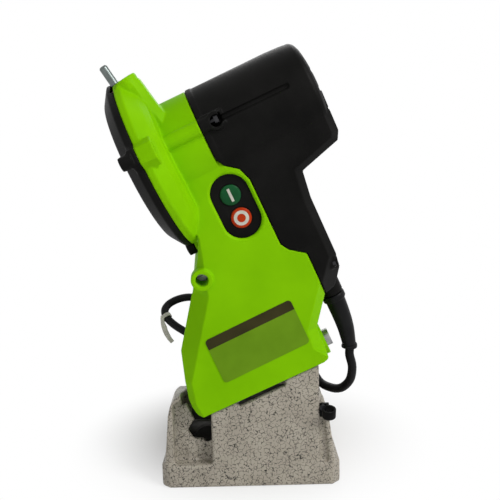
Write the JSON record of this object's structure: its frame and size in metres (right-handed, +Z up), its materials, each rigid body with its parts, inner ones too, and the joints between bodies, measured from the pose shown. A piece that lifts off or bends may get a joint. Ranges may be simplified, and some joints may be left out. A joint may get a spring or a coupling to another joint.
{
  "type": "saw chain grinder",
  "caption": "Bench grinder for saw chains: motor head with guarded disc swings down on a tilted hinge over a swivelling chain vise, with push buttons and mains lead.",
  "frame": {"origin": "centre of the base footprint on the bench, midway between the four bench screws", "axes": "+X to the right seen from the switch side, +Y from the switch side to the vise, +Z up"},
  "size_m": [0.1605, 0.3417, 0.2767],
  "materials": {
    "base_paint": "fine crackle paint",
    "green_plastic": "fine spark texture",
    "black_plastic": "fine spark texture",
    "black_rubber": "smooth PVC",
    "zinc_steel": "zinc plated",
    "spring_steel": "drawn wire",
    "vise_iron": "satin painted",
    "sintered_bronze": "plain",
    "label_film": "bare printed film",
    "green_button": "gloss",
    "red_button": "gloss",
    "laminations": "stacked sheet",
    "enamelled_copper": "varnished",
    "brush_brass": "plain",
    "carbon": "dull",
    "copper": "turned",
    "fan_plastic": "plain",
    "abrasive": "vitrified grit",
    "tie_plastic": "plain"
  },
  "bodies": {
    "base": {"base_casting": "base_paint", "hinge_bolt": "zinc_steel", "hinge_washers": "zinc_steel", "hinge_nut": "zinc_steel", "return_spring": "spring_steel", "cord_clip": "black_plastic", "clip_screw": "zinc_steel", "vise_pivot_bolt": "zinc_steel", "cord_lead": "black_rubber", "cord_coil": "black_rubber", "cord_tie": "tie_plastic", "coil_tie": "black_plastic", "mains_plug": "black_rubber", "plug_pins": "brush_brass"},
    "vise": {"vise_table": "vise_iron", "fixed_jaw": "vise_iron", "jaw_screws": "zinc_steel", "clamp_bolt": "zinc_steel", "pawl_bracket": "zinc_steel", "pawl_pin": "zinc_steel"},
    "lock_knob": {"table_lock_knob": "black_plastic"},
    "jaw": {"moving_jaw": "vise_iron"},
    "lever": {"clamp_lever": "black_plastic"},
    "pawl": {"chain_pawl": "zinc_steel"},
    "head": {"arm_housing": "green_plastic", "hinge_bushes": "sintered_bronze", "motor_housing": "black_plastic", "housing_screws": "zinc_steel", "guard_cover": "black_plastic", "guard_screws": "zinc_steel", "handle_stud": "zinc_steel", "label_plate": "label_film", "switch_bezel": "black_plastic", "switch_body": "black_plastic", "depth_stop_nut": "zinc_steel", "front_bearing": "zinc_steel", "rear_bearing": "zinc_steel", "stator_core": "laminations", "field_coils": "enamelled_copper", "brush_holders": "brush_brass", "carbon_brushes": "carbon", "cord_anchor": "black_plastic", "anchor_screws": "zinc_steel", "strain_relief": "black_rubber", "cord_tail": "black_rubber"},
    "start": {"start_button": "green_button"},
    "stop": {"stop_button": "red_button"},
    "depth_screw": {"depth_stop_screw": "zinc_steel"},
    "spindle": {"motor_shaft": "zinc_steel", "rotor_core": "laminations", "rotor_windings": "enamelled_copper", "commutator": "copper", "cooling_fan": "fan_plastic", "inner_flange": "zinc_steel", "grinding_disc": "abrasive", "outer_flange": "zinc_steel", "spindle_nut": "zinc_steel"}
  },
  "joints": [
    {"name": "head_swing", "type": "hinge", "parent": "base", "child": "head", "pos_m": [0.0099, -0.064, 0.0719], "axis": [-0.9135, 0, -0.4067], "range_deg": [0, 56], "stiffness_Nm_per_rad": 2, "springref_deg": -11.46, "deforming": ["return_spring", "cord_lead"]},
    {"name": "spindle_spin", "type": "hinge", "parent": "head", "child": "spindle", "pos_m": [-0.05052, -0.08488, 0.2076], "axis": [0.9135, 0, 0.4067], "continuous": true},
    {"name": "start_press", "type": "slide", "parent": "head", "child": "start", "axis": [-0.0566, 0.9903, 0.1271], "range_m": [0, 0.0022], "stiffness_N_per_m": 600, "springref_m": -0.0015},
    {"name": "stop_press", "type": "slide", "parent": "head", "child": "stop", "axis": [-0.0566, 0.9903, 0.1271], "range_m": [0, 0.0022], "stiffness_N_per_m": 600, "springref_m": -0.0015},
    {"name": "depth_adjust", "type": "slide", "parent": "head", "child": "depth_screw", "axis": [-0.0566, 0.9903, 0.1271], "range_m": [-0.004, 0]},
    {"name": "vise_swivel", "type": "hinge", "parent": "base", "child": "vise", "pos_m": [-0.0145, 0.0482, 0.07], "axis": [0, 0, 1], "range_deg": [-35, 35]},
    {"name": "table_lock", "type": "hinge", "parent": "vise", "child": "lock_knob", "pos_m": [-0.0145, 0.0782, 0.075], "axis": [0, 0, 1], "range_deg": [-90, 0]},
    {"name": "lever_turn", "type": "hinge", "parent": "vise", "child": "lever", "pos_m": [-0.0145, 0.0622, 0.099], "axis": [0, 1, 0], "range_deg": [0, 45]},
    {"name": "jaw_open", "type": "slide", "parent": "vise", "child": "jaw", "axis": [0, 1, 0], "range_m": [0, 0.0025]},
    {"name": "pawl_flip", "type": "hinge", "parent": "vise", "child": "pawl", "pos_m": [-0.0385, 0.0482, 0.1205], "axis": [0, -1, 0], "range_deg": [0, 70]}
  ],
  "couplings": [
    {"joint": "lever_turn", "follows": "jaw_open", "rad_per_m": 314.16}
  ]
}
